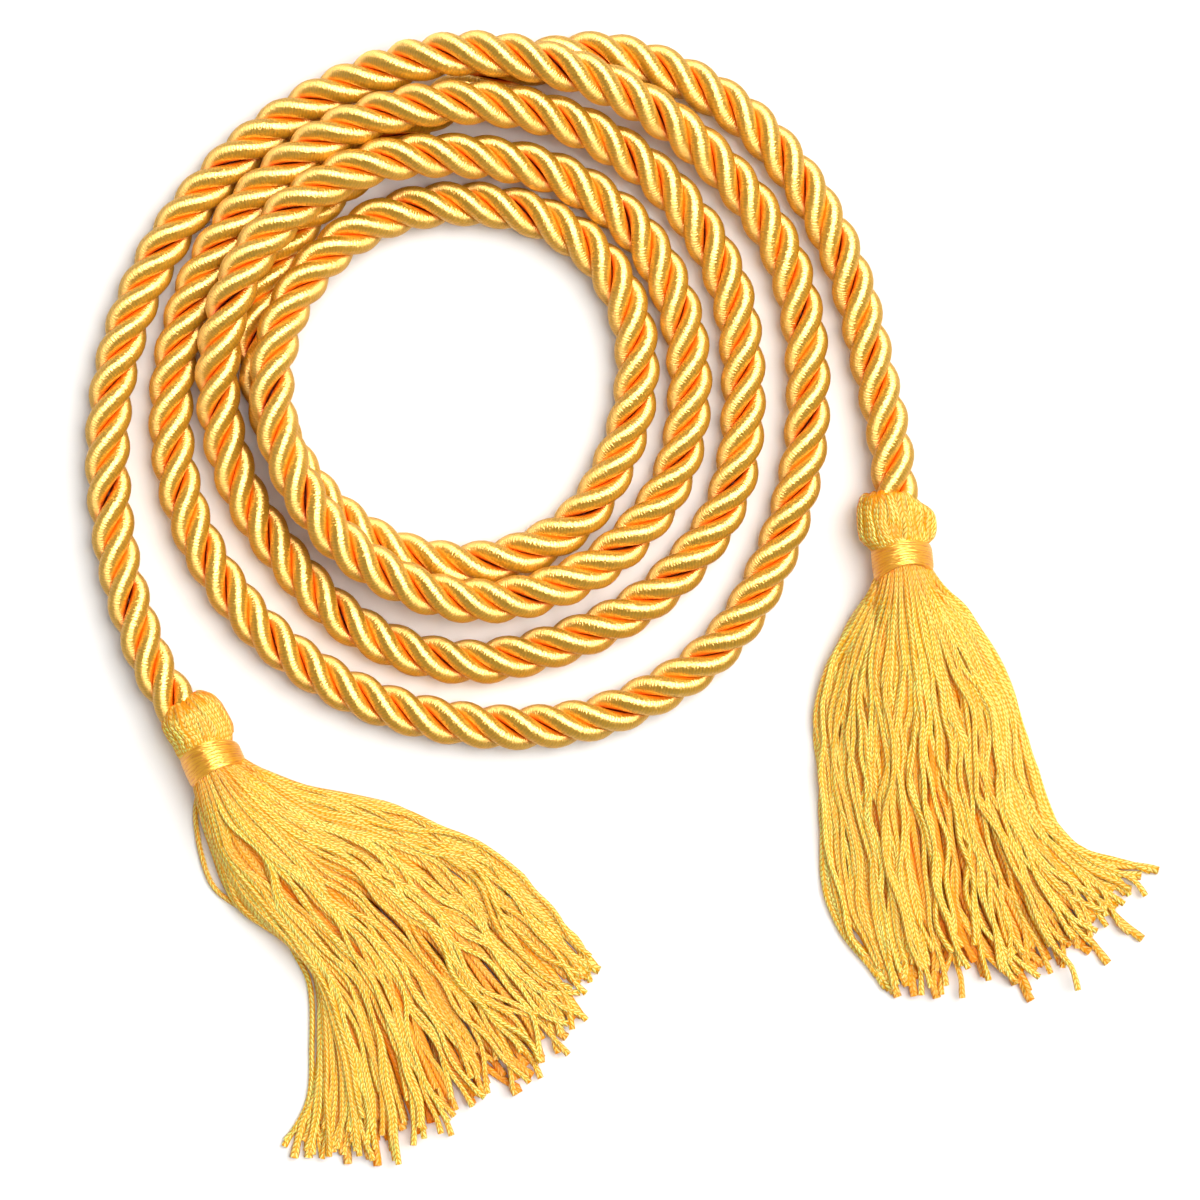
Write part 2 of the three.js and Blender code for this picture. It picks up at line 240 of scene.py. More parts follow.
class StageSettings(bpy.types.PropertyGroup):
    """Camera, light and floor."""

    lens: bpy.props.FloatProperty(name="Lens", description="Focal length", default=180, unit="CAMERA")
    softbox: length_size("Softbox", "Diameter of the softbox and of the fill above", 2670)
    power: lamp_power("Power", "Power of the softbox", 110)
    overhead: lamp_power("Overhead", "Power of the fill above", 22)
    gloss: length_size("Gloss lamp", "Its diameter", 2800)
    shine: lamp_power("Shine", "Power of the gloss lamp", 440)
    walls: bpy.props.FloatProperty(name="Walls", description="Brightness of the room's walls", default=0.42)
    ceiling: bpy.props.FloatProperty(name="Ceiling", description="Brightness of its ceiling", default=0.1)
    paper: colour_choice("Paper", "Floor", "#F6F5F3")


def add_node(tree, kind, inputs=(), **settings):
    """One shader node with its settings, and a value, a socket or a node to link for each input."""
    node = tree.nodes.new(kind)
    for name, value in settings.items():
        setattr(node, name, value)
    for key, value in dict(inputs).items():
        if isinstance(value, bpy.types.Node):
            # a node stands for its first output in use
            value = next(socket for socket in value.outputs if socket.enabled)
        if isinstance(value, bpy.types.NodeSocket):
            tree.links.new(value, node.inputs[key])
        else:
            node.inputs[key].default_value = value
    return node


def new_material(name):
    """An empty material and its tree."""
    material = bpy.data.materials.new(name)
    material.use_nodes = True
    material.node_tree.nodes.clear()
    return material, material.node_tree


def thread_places(tree):
    """The thread's UV map, the place along the thread in metres, and the place round it in turns."""
    place = add_node(tree, "ShaderNodeUVMap", uv_map="thread")
    parts = add_node(tree, "ShaderNodeSeparateXYZ", {0: place})
    return place, parts.outputs[0], parts.outputs[1]


def wound_yarn(tree, pitch, fineness, detail, bend, step):
    """Yarn wound on a slant of two pitches in a turn: the place round it, its noise, and its wave.

    The noise has fineness units to a pitch along the thread and twelve to a turn round it, and bends the yarn
    by up to bend pitches. step is how far the wave's angle goes from one turn of yarn to the next."""
    place, along, around = thread_places(tree)
    rate = (fineness / pitch, 12, 1)
    noise_place = add_node(tree, "ShaderNodeVectorMath", {0: place, 1: rate}, operation="MULTIPLY")
    settings = {"Vector": noise_place, "Scale": 1.0, "Detail": detail}
    noise = add_node(tree, "ShaderNodeTexNoise", settings, noise_dimensions="2D")
    turns = add_node(tree, "ShaderNodeMath", {0: along, 1: 1 / pitch}, operation="MULTIPLY")
    askew = add_node(tree, "ShaderNodeMath", {0: around, 1: 2.0, 2: turns}, operation="MULTIPLY_ADD")
    uneven = add_node(tree, "ShaderNodeMath", {0: noise, 1: bend, 2: askew}, operation="MULTIPLY_ADD")
    phase = add_node(tree, "ShaderNodeMath", {0: uneven, 1: step}, operation="MULTIPLY")
    return around, noise, add_node(tree, "ShaderNodeMath", {0: phase}, operation="SINE")


def opaque(colour):
    return [*colour, 1.0]


def rayon_gimp_satin(rope):
    """Rayon yarn wound closely round a core, shiny as satin.

    Its fibres run round the ply, so the eye gets one long pale streak along each ply with frayed edges, deep
    gold beside it, and orange where light passes from ply to ply down in the groove. That orange, the darker
    lines between turns of yarn and the dark shade where two plies touch are painted into the colour."""
    material, tree = new_material("rayon_gimp_satin")
    # the photograph is too coarse to tell the turns of yarn apart, so their real spacing isn't known; two are
    # drawn to the millimetre, so that they show
    around, fray, wave = wound_yarn(
        tree, rope.gimp_pitch, fineness=1.5, detail=1.0, bend=0.8, step=2 * math.pi
    )
    ridge = add_node(tree, "ShaderNodeMapRange", {"Value": wave, "From Min": -1.0, "From Max": 1.0})
    relief = add_node(tree, "ShaderNodeMath", {0: ridge, 1: 0.3, 2: fray}, operation="MULTIPLY_ADD")
    bump = add_node(tree, "ShaderNodeBump", {"Height": relief, "Strength": 1.0, "Distance": 0.125 * MM})
    # painted shade: the line between two turns is darkest in the valley and fades up the ridge
    fading = {"Value": ridge, "From Min": 0.0, "From Max": 0.7, "To Min": 0.65, "To Max": 0.0}
    line = add_node(tree, "ShaderNodeMapRange", fading)
    broken = add_node(tree, "ShaderNodeMath", {0: line, 1: fray}, operation="MULTIPLY")
    mix = {"Factor": broken, "A": opaque(rope.gold), "B": opaque(rope.valley_shade)}
    colour = add_node(tree, "ShaderNodeMix", mix, data_type="RGBA")
    # from 0 on the ply's outer side to 0.5 on its inner side; it touches the next ply at 0.42
    inward = add_node(tree, "ShaderNodeMath", {0: around, 1: 0.5}, operation="PINGPONG")
    # painted light and shade round the ply: orange for light passed from ply to ply on the flanks, deeper
    # orange down in the groove, and dark shade where two plies touch
    for start, end, deeper in ((0.2, 0.27, rope.orange), (0.27, 0.32, rope.groove), (0.31, 0.345, rope.seam)):
        edge = {"Value": inward, "From Min": start, "From Max": end}
        reach = add_node(tree, "ShaderNodeMapRange", edge, interpolation_type="SMOOTHSTEP")
        mix = {"Factor": reach, "A": colour, "B": opaque(deeper)}
        colour = add_node(tree, "ShaderNodeMix", mix, data_type="RGBA")
    tangent = add_node(tree, "ShaderNodeTangent", direction_type="UV_MAP", uv_map="thread")
    satin = {
        "Base Color": colour,
        "Metallic": 0.55,
        "Roughness": 0.43,
        "IOR": 2.0,
        "Specular IOR Level": 0.8,
        "Anisotropic": 0.9,
        "Tangent": tangent,
        "Normal": bump,
    }
    shader = add_node(tree, "ShaderNodeBsdfPrincipled", satin)
    add_node(tree, "ShaderNodeOutputMaterial", {0: shader})
    return material


def rayon_chainette(name, tassel):
    """Shiny rayon thread knitted as a fine chain.

    The eye gets pale loops in slanting pairs, a dark line between one and the next, and a warm orange from
    light that has passed through other threads. The pale is a painted highlight on the raised loops, the dark
    line painted shade, and the orange painted shade and bounce light on threads deep in the pile."""
    material, tree = new_material(name)
    # where the photograph shows the stitches most clearly they measure about 1 mm, and are drawn at that size
    along, around = thread_places(tree)[1:]
    # four columns of loops round the thread, which slant to either side in turn
    column = add_node(tree, "ShaderNodeMath", {0: around, 1: 4.0}, operation="MULTIPLY")
    across = add_node(tree, "ShaderNodeMath", {0: column, 1: 1.0}, operation="PINGPONG")
    loops = add_node(tree, "ShaderNodeMath", {0: along, 1: 1 / tassel.stitch}, operation="MULTIPLY")
    slanted = add_node(tree, "ShaderNodeMath", {0: across, 1: 1.25, 2: loops}, operation="MULTIPLY_ADD")
    phase = add_node(tree, "ShaderNodeMath", {0: slanted, 1: math.pi}, operation="MULTIPLY")
    wave = add_node(tree, "ShaderNodeMath", {0: phase}, operation="SINE")
    loop = add_node(tree, "ShaderNodeMath", {0: wave}, operation="ABSOLUTE")
    half_turn = add_node(tree, "ShaderNodeMath", {0: across, 1: math.pi}, operation="MULTIPLY")
    crown = add_node(tree, "ShaderNodeMath", {0: half_turn}, operation="SINE")
    height = add_node(tree, "ShaderNodeMath", {0: loop, 1: crown}, operation="MULTIPLY")
    bump = add_node(tree, "ShaderNodeBump", {"Height": height, "Strength": 1.0, "Distance": 0.18 * MM})
    # a loop's number is the whole part of its place along and of its column, so each loop's painted highlight
    # has its own strength
    loop_number = add_node(tree, "ShaderNodeMath", {0: slanted}, operation="FLOOR")
    column_number = add_node(tree, "ShaderNodeMath", {0: column}, operation="FLOOR")
    numbers = add_node(tree, "ShaderNodeCombineXYZ", {0: loop_number, 1: column_number})
    glint = add_node(tree, "ShaderNodeTexWhiteNoise", {"Vector": numbers}, noise_dimensions="2D")
    lift = add_node(tree, "ShaderNodeMapRange", {"Value": glint, "To Min": 0.6, "To Max": 1.3})
    lit = add_node(tree, "ShaderNodeMath", {0: height, 1: lift}, operation="MULTIPLY")
    # painted highlight: the raised middle of each loop turns pale
    painted_highlight = add_node(tree, "ShaderNodeMapRange", {"Value": lit, "From Min": 0.27, "From Max": 0.42})
    # painted shade: a dark line in the crease where one loop meets the next
    fading = {"Value": loop, "From Min": 0.0, "From Max": 0.45, "To Min": 0.75, "To Max": 0.0}
    line = add_node(tree, "ShaderNodeMapRange", fading)
    crease_shade = add_node(tree, "ShaderNodeMath", {0: line, 1: crown}, operation="MULTIPLY")
    # a thread's number is the whole part of its place round, so each thread has its own tone
    number = add_node(tree, "ShaderNodeMath", {0: around}, operation="FLOOR")
    own = add_node(tree, "ShaderNodeTexWhiteNoise", {"W": number}, noise_dimensions="1D")
    tone = add_node(tree, "ShaderNodeMapRange", {"Value": own, "To Max": 0.35})
    # painted shade and bounce light: a thread takes the inner colour by the amount stored on it, added to its
    # own random tone
    depth = add_node(tree, "ShaderNodeAttribute", attribute_name="depth")
    both = {0: depth.outputs["Fac"], 1: tone}
    inward = add_node(tree, "ShaderNodeMath", both, operation="ADD", use_clamp=True)
    colour = opaque(tassel.yellow)
    for share, other in ((painted_highlight, tassel.pale), (crease_shade, tassel.crease_shade), (inward, tassel.inner)):
        mix = {"Factor": share, "A": colour, "B": opaque(other)}
        colour = add_node(tree, "ShaderNodeMix", mix, data_type="RGBA")
    rayon = {
        "Base Color": colour,
        "Roughness": 0.4,
        "IOR": 1.53,
        "Specular IOR Level": 0.12,
        "Subsurface Weight": 0.2,
        "Subsurface Radius": (1.0, 0.25, 0.05),
        "Subsurface Scale": 0.6 * MM,
        "Normal": bump,
    }
    shader = add_node(tree, "ShaderNodeBsdfPrincipled", rayon)
    add_node(tree, "ShaderNodeOutputMaterial", {0: shader})
    return material


def satin_binding(tassel):
    """Fine rayon yarn wound closely round the neck, its turns modelled as low ridges.

    Its fibres run round the neck, so the eye gets one pale patch along it, which the yarns break up."""
    material, tree = new_material("rayon_binding_wound")
    # the photograph doesn't tell the turns of yarn apart, so their spacing is a guess, wide enough to show
    fibre, wave = wound_yarn(tree, tassel.binding_pitch, fineness=2.6, detail=2.0, bend=1.1, step=math.pi)[1:]
    ridge = add_node(tree, "ShaderNodeMath", {0: wave}, operation="ABSOLUTE")
    # painted shade: the line between two turns of the binding is darkest in the valley and fades up the ridge
    fading = {"Value": ridge, "From Min": 0.05, "From Max": 0.7, "To Min": 1.5, "To Max": 0.0}
    line = add_node(tree, "ShaderNodeMapRange", fading)
    broken = add_node(tree, "ShaderNodeMath", {0: line, 1: fibre}, operation="MULTIPLY")
    mix = {"Factor": broken, "A": opaque(tassel.binding), "B": opaque(tassel.binding_valley_shade)}
    colour = add_node(tree, "ShaderNodeMix", mix, data_type="RGBA")
    relief = add_node(tree, "ShaderNodeMath", {0: ridge, 1: 0.25, 2: fibre}, operation="MULTIPLY_ADD")
    bump = add_node(tree, "ShaderNodeBump", {"Height": relief, "Strength": 1.0, "Distance": 0.36 * MM})
    tangent = add_node(tree, "ShaderNodeTangent", direction_type="UV_MAP", uv_map="thread")
    satin = {
        "Base Color": colour,
        "Metallic": 0.5,
        "Roughness": 0.39,
        "IOR": 1.8,
        "Specular IOR Level": 0.65,
        "Anisotropic": 0.8,
        "Tangent": tangent,
        "Normal": bump,
    }
    shader = add_node(tree, "ShaderNodeBsdfPrincipled", satin)
    add_node(tree, "ShaderNodeOutputMaterial", {0: shader})
    return material


def matt_paper(stage):
    """Smooth white paper: dull, so the eye gets soft shadows on it and no reflection of the cord."""
    material, tree = new_material("paper_matt")
    # the photograph shows no tooth in the paper, so this is a guess: about 1 mm, and faint
    tooth = add_node(tree, "ShaderNodeTexNoise", {"Scale": 900.0, "Detail": 2.0})
    bump = add_node(tree, "ShaderNodeBump", {"Height": tooth, "Strength": 0.05, "Distance": 0.1 * MM})
    dull = {"Base Color": opaque(stage.paper), "Roughness": 0.9, "Specular IOR Level": 0.2, "Normal": bump}
    shader = add_node(tree, "ShaderNodeBsdfPrincipled", dull)
    add_node(tree, "ShaderNodeOutputMaterial", {0: shader})
    return material


def smooth_curve(points, shares):
    """Places on the centripetal curve through some points.

    The shares run from 0 to 1 and are even from point to point."""
    points = np.asarray(points, float)
    padded = np.vstack([2 * points[0] - points[1], points, 2 * points[-1] - points[-2]])
    place = np.clip(np.asarray(shares, float), 0, 1) * (len(points) - 1)
    start = np.minimum(place.astype(int), len(points) - 2)
    t = (place - start)[..., None]
    p0, p1, p2, p3 = (padded[start + step] for step in range(4))
    gap = [np.sqrt(np.linalg.norm(b - a, axis=-1, keepdims=True)) for a, b in ((p0, p1), (p1, p2), (p2, p3))]
    leave = ((p1 - p0) / gap[0] - (p2 - p0) / (gap[0] + gap[1]) + (p2 - p1) / gap[1]) * gap[1]
    arrive = ((p2 - p1) / gap[1] - (p3 - p1) / (gap[1] + gap[2]) + (p3 - p2) / gap[2]) * gap[1]
    square = -3 * p1 + 3 * p2 - 2 * leave - arrive
    cube = 2 * p1 - 2 * p2 + leave + arrive
    return p1 + leave * t + square * t**2 + cube * t**3


def even_line(line, spacing):
    """The same line with its points about one spacing apart."""
    run = np.concatenate([[0], np.cumsum(np.linalg.norm(np.diff(line, axis=0), axis=1))])
    places = np.linspace(0, run[-1], round(run[-1] / spacing) + 1)
    return np.stack([np.interp(places, run, line[:, axis]) for axis in range(3)], axis=1), places


def unit(vectors):
    return vectors / np.maximum(np.linalg.norm(vectors, axis=-1, keepdims=True), 1e-12)


def dot(a, b):
    return np.sum(a * b, axis=-1, keepdims=True)


def side_vectors(lines, first):
    """A vector across each line at each of its points, turned along it as little as it can be."""
    tangent = unit(np.gradient(lines, axis=-2))
    side = np.empty_like(lines)
    side[..., 0, :] = unit(first - tangent[..., 0, :] * dot(first, tangent[..., 0, :]))
    for step in range(1, lines.shape[-2]):
        last, ahead = side[..., step - 1, :], tangent[..., step, :]
        side[..., step, :] = unit(last - ahead * dot(last, ahead))
    return side


def tubes(lines, radii, sides, side):
    """Closed tubes along several lines of equal count, with the places along and round each.

    side is the vector at each point where the way round starts."""
    count, rings, _ = lines.shape
    tangent = unit(np.gradient(lines, axis=1))
    side = unit(side - tangent * dot(side, tangent))
    up = np.cross(tangent, side)
    angle = 2 * np.pi * np.arange(sides) / sides
    reach = radii[..., None]
    ring = (
        lines[:, :, None]
        + side[:, :, None] * (reach * np.cos(angle))[..., None]
        + up[:, :, None] * (reach * np.sin(angle))[..., None]
    )
    vertices = ring.reshape(-1, 3)
    steps = np.linalg.norm(np.diff(lines, axis=1), axis=2)
    run = np.concatenate([np.zeros((count, 1)), np.cumsum(steps, axis=1)], axis=1)
    number, row, place = np.meshgrid(np.arange(count), np.arange(rings - 1), np.arange(sides), indexing="ij")
    corner = [(row, place), (row + 1, place), (row + 1, place + 1), (row, place + 1)]
    faces = np.stack([(number * rings + r) * sides + p % sides for r, p in corner], axis=-1)
    faces = faces.reshape(-1, 4)[:, ::-1]
    spots = np.stack([np.stack([run[number, r], number + p / sides], axis=-1) for r, p in corner], axis=-2)
    spots = spots.reshape(-1, 4, 2)[:, ::-1]
    caps = []
    cap_spots = []
    for end, order in ((0, 1), (rings - 1, -1)):
        for tube in range(count):
            start = (tube * rings + end) * sides
            caps.append(list(range(start, start + sides))[::order])
            cap_spots += [[run[tube, end], tube + 0.5]] * sides
    return {
        "vertices": vertices,
        "faces": faces,
        "caps": caps,
        "spots": np.concatenate([spots.reshape(-1, 2), np.array(cap_spots)]),
    }


def mesh_piece(name, parts, material, depths=None):
    """One object from several sets of tubes."""
    vertices = np.concatenate([part["vertices"] for part in parts])
    faces, spots, start = [], [], 0
    for part in parts:
        faces += (part["faces"] + start).tolist()
        faces += [[corner + start for corner in cap] for cap in part["caps"]]
        spots.append(part["spots"])
        start += len(part["vertices"])
    mesh = bpy.data.meshes.new(name)
    mesh.from_pydata(vertices.tolist(), [], faces)
    mesh.uv_layers.new(name="thread").data.foreach_set("uv", np.concatenate(spots).astype(np.float32).ravel())
    # painted shade: how much of the inner colour each point takes
    if depths is not None:
        mesh.attributes.new("depth", "FLOAT", "POINT").data.foreach_set("value", depths.astype(np.float32))
    mesh.shade_smooth()
    mesh.materials.append(material)
    piece = bpy.data.objects.new(name, mesh)
    bpy.context.scene.collection.objects.link(piece)
    return piece


def tassel_origin(side):
    """The middle of the lower edge of a tassel's band, taken from where that band lies in the frame."""
    low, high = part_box(f"band_{side}")
    middle = (low + high) / 2
    settings = bpy.context.scene.honor_tassel
    turn = math.radians(TASSELS[side]["turn"])
    half = settings.band_length / 2
    return Vector((middle.x + math.sin(turn) * half, middle.y - math.cos(turn) * half, middle.z))


def coil_centre():
    """The middle of the coil in the frame, counted back from the right tassel."""
    origin = tassel_origin("right")
    return Vector((origin.x - RIGHT_X * MM, origin.y - RIGHT_Y * MM, 0))


def to_frame(side, places):
    """Places in a tassel's own directions (across, up along its axis, height) as places in the frame."""
    origin = tassel_origin(side)
    turn = math.radians(TASSELS[side]["turn"])
    x, y, z = np.moveaxis(np.asarray(places, float), -1, 0)
    frame_x = origin.x + x * math.cos(turn) - y * math.sin(turn)
    frame_y = origin.y + x * math.sin(turn) + y * math.cos(turn)
    return np.stack([frame_x, frame_y, z], axis=-1)


def rope_route():
    """The points that the rope's middle passes through, from the left tassel's head to the right one's."""
    rope, tassel = bpy.context.scene.honor_rope, bpy.context.scene.honor_tassel
    radius = rope.diameter / 2
    centre = coil_centre()
    coil = []
    for turn in TURNS:
        for step, (reach, lift) in enumerate(zip(turn["radius"], turn["lift"])):
            clock = math.radians(turn["from"] - step * SIXTEENTH)
            x = centre.x + reach * MM * math.cos(clock)
            y = centre.y + reach * MM * math.sin(clock)
            coil.append((x, y, radius + lift * rope.diameter))
    head_top = tassel.head_length + tassel.band_length
    ends = {}
    for side in TASSELS:
        axis_height = tassel_origin(side).z
        tucked = (0, head_top - rope.tuck, axis_height)
        lead = (0, head_top + rope.lead, (radius + axis_height) / 2)
        ends[side] = to_frame(side, [tucked, lead])
    return np.vstack([ends["left"], coil, ends["right"][::-1]])


class HONOR_OT_rope(bpy.types.Operator):
    """Lay three wound plies round each other along the coil's route"""

    bl_idname = "honor.rope"
    bl_label = "Rope"

    SIDES = 16
    SPACING = 0.95 * MM
    CURVE_STEPS = 40  # for each point of the route
    PLIES = 3
    PLY_SHARE = 0.444  # a ply's diameter, where three slanting plies just touch, as a share of the rope's
    # how unevenly the plies lie round each other: size in radians, length in metres, step from ply to ply
    SLACK = ((0.06, 0.043, 2.1), (0.05, 0.019, 4.4))
    PATH_STEP = 4  # how many points of the line there are to one of the cord's path

    def execute(self, context):
        rope = context.scene.honor_rope
        route = rope_route()
        line = smooth_curve(route, np.linspace(0, 1, self.CURVE_STEPS * len(route)))
        line, run = even_line(line, self.SPACING)
        side = side_vectors(line, np.array([0.0, 0.0, 1.0]))
        up = np.cross(unit(np.gradient(line, axis=0)), side)
        ply_radius = rope.diameter * self.PLY_SHARE / 2
        helix_radius = rope.diameter / 2 - ply_radius
        plies, outward = [], []
        for ply in range(self.PLIES):
            slack = sum(size * np.sin(run / length + step * ply) for size, length, step in self.SLACK)
            angle = 2 * np.pi * (run / rope.lay + ply / self.PLIES) + slack
            out = side * np.cos(angle)[:, None] + up * np.sin(angle)[:, None]
            plies.append(line + out * helix_radius)
            outward.append(out)
        plies = np.array(plies)
        plies[..., 2] = np.maximum(plies[..., 2], ply_radius)
        radii = np.full(plies.shape[:2], ply_radius)
        parts = [tubes(plies, radii, self.SIDES, np.array(outward))]
        piece = mesh_piece("rope_plies", parts, rayon_gimp_satin(rope))
        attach(piece, "root")
        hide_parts("rope")
        return {"FINISHED"}


def axis_tilt(side, along):
    """How far the head's middle stands off the tassel's axis, at shares of the head from its top.

    It leans fully down to 0.8 of its length, and no more from 1.2, inside the band."""
    tassel = bpy.context.scene.honor_tassel
    return TASSELS[side]["lean"] * tassel.head_diameter / 2 * np.clip(3 - 2.5 * along, 0, 1)


# Where folded threads stand out or lie sunken: the angle round the head from its right side in degrees, the
# place from its top as a share of its length, the spread of both, and the height in millimetres
HEAD_BUMPS = {
    "left": [
        {"angle": 88, "along": 0.16, "wide": 14, "long": 0.12, "height": -0.8},
    ],
    "right": [
        {"angle": 6, "along": 0.62, "wide": 27, "long": 0.34, "height": 3.0},
        {"angle": 40, "along": 0.6, "wide": 8, "long": 0.2, "height": -1.1},
        {"angle": 86, "along": 0.72, "wide": 11, "long": 0.16, "height": -1.2},
    ],
}


class HONOR_OT_heads(bpy.types.Operator):
    """Fold the tassels' threads over the rope's ends"""

    bl_idname = "honor.heads"
    bl_label = "Tassel heads"

    # from the outermost in: how many threads, their reach from the head's middle and their thickness against
    # the outermost sheet's, and how much of the inner colour they take as painted shade
    SHEETS = [
        {"loops": 50, "reach": 1.0, "thick": 1.0, "depth": 0.0},
        {"loops": 36, "reach": 0.9, "thick": 1.7, "depth": 0.4},
        {"loops": 26, "reach": 0.79, "thick": 1.9, "depth": 0.8},
    ]
    RINGS = 40
    SIDES = 8
    UNEVEN_GAPS = 0.1  # against the gap between two threads
    UNEVEN_FOLDS = 0.03  # against the head's length
    UNEVEN_REACH = 0.2 * MM
    SWAY = 0.04  # how far a thread swings round the head, in radians
    INNER_SHARE = 0.3  # of a thread's points, from its inner end, that no bump or top shade reaches
    TOP_SHARE = 0.35  # of the head's length over which its top takes more of the inner colour, as painted shade
    HOLLOW_SHADE = 1.2  # how much of the inner colour a sunken thread takes, as painted shade

    def execute(self, context):
        tassel = context.scene.honor_tassel
        material = rayon_chainette("rayon_chainette_folded", tassel)
        for number, side in enumerate(TASSELS):
            rng = np.random.default_rng(41 + number)
            piece = self.loops(side, tassel, rng, material)
            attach(piece, "root")
            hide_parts(f"tassel_{side}")
        return {"FINISHED"}

    def loops(self, side, tassel, rng, material):
        """Threads that rise from the band, fold over the head's top and go down beside the rope."""
        thread_radius = tassel.thread / 2
        head_radius = tassel.head_diameter / 2 - thread_radius
        axis_height = tassel_origin(side).z
        top = tassel.head_length + tassel.band_length
        # from inside the band to the head's widest place, over its top and down beside the rope
        crown = TASSELS[side]["top"]
        drop = TASSELS[side]["top_drop"]
        profile = [(1.3, 0.7), (1, 0.9), (0.76, 0.98), (0.5, 1), (drop + 0.25, 0.98)]
        profile += [(drop + 0.09, (crown + 0.98) / 2), (drop, crown), (drop + 0.03, crown - 0.14)]
        profile.append((drop + 0.32, 0.44))
        shares = np.linspace(0, 1, self.RINGS)
        lines, across, depths, radii = [], [], [], []
        for sheet in self.SHEETS:
            radius = thread_radius * sheet["thick"]
            for loop in range(sheet["loops"]):
                angle = 2 * np.pi * (loop + self.UNEVEN_GAPS * rng.standard_normal()) / sheet["loops"]
                fold = self.UNEVEN_FOLDS * rng.standard_normal()
                path = smooth_curve([(a + fold * (a < 0.5), r, 0) for a, r in profile], shares)
                along, reach = path[:, 0], path[:, 1] * head_radius * sheet["reach"]
                reach += self.UNEVEN_REACH * rng.standard_normal() * (along < 0.9)
                visible = np.clip(along, 0, 1)
                outer = np.linspace(1, 0, self.RINGS) > self.INNER_SHARE
                around = angle + self.SWAY * rng.standard_normal() * (1 - visible)
                around = around + self.SWAY * np.sin(9 * visible + angle * 5)
                near_top = np.clip(1 - along / self.TOP_SHARE, 0, 1)
                shade = sheet["depth"] + TASSELS[side]["top_shade"] * near_top * outer
                for bump in HEAD_BUMPS[side]:
                    turned = np.angle(np.exp(1j * (around - math.radians(bump["angle"]))))
                    turned = turned / math.radians(bump["wide"])
                    near = np.exp(-(turned**2) - ((along - bump["along"]) / bump["long"]) ** 4) * outer
                    if bump["height"] < 0 and sheet["depth"] > 0:
                        continue
                    reach += bump["height"] * MM * near
                    shade = shade + self.HOLLOW_SHADE * near * (bump["height"] < 0)
                # the foot of the head follows the slope of the band's top edge
                slope = TASSELS[side]["top_edge"]["slope"] * reach * np.cos(around)
                slope = slope * np.clip(along - 0.2, 0, 1)
                x = axis_tilt(side, along) + reach * np.cos(around)
                y = top - along * tassel.head_length + slope
                z = np.maximum(axis_height + reach * np.sin(around), radius)
                lines.append(to_frame(side, np.stack([x, y, z], axis=-1)))
                spoke = to_frame(side, [(math.cos(angle), 0, math.sin(angle)), (0, 0, 0)])
                across.append(spoke[0] - spoke[1] + (0, 0, 0.01))
                depths.append(shade)
                radii.append(np.full(self.RINGS, radius))
        lines = np.array(lines)
        part = tubes(lines, np.array(radii), self.SIDES, side_vectors(lines, np.array(across)))
        return mesh_piece(f"head_{side}", [part], material, np.repeat(depths, self.SIDES))


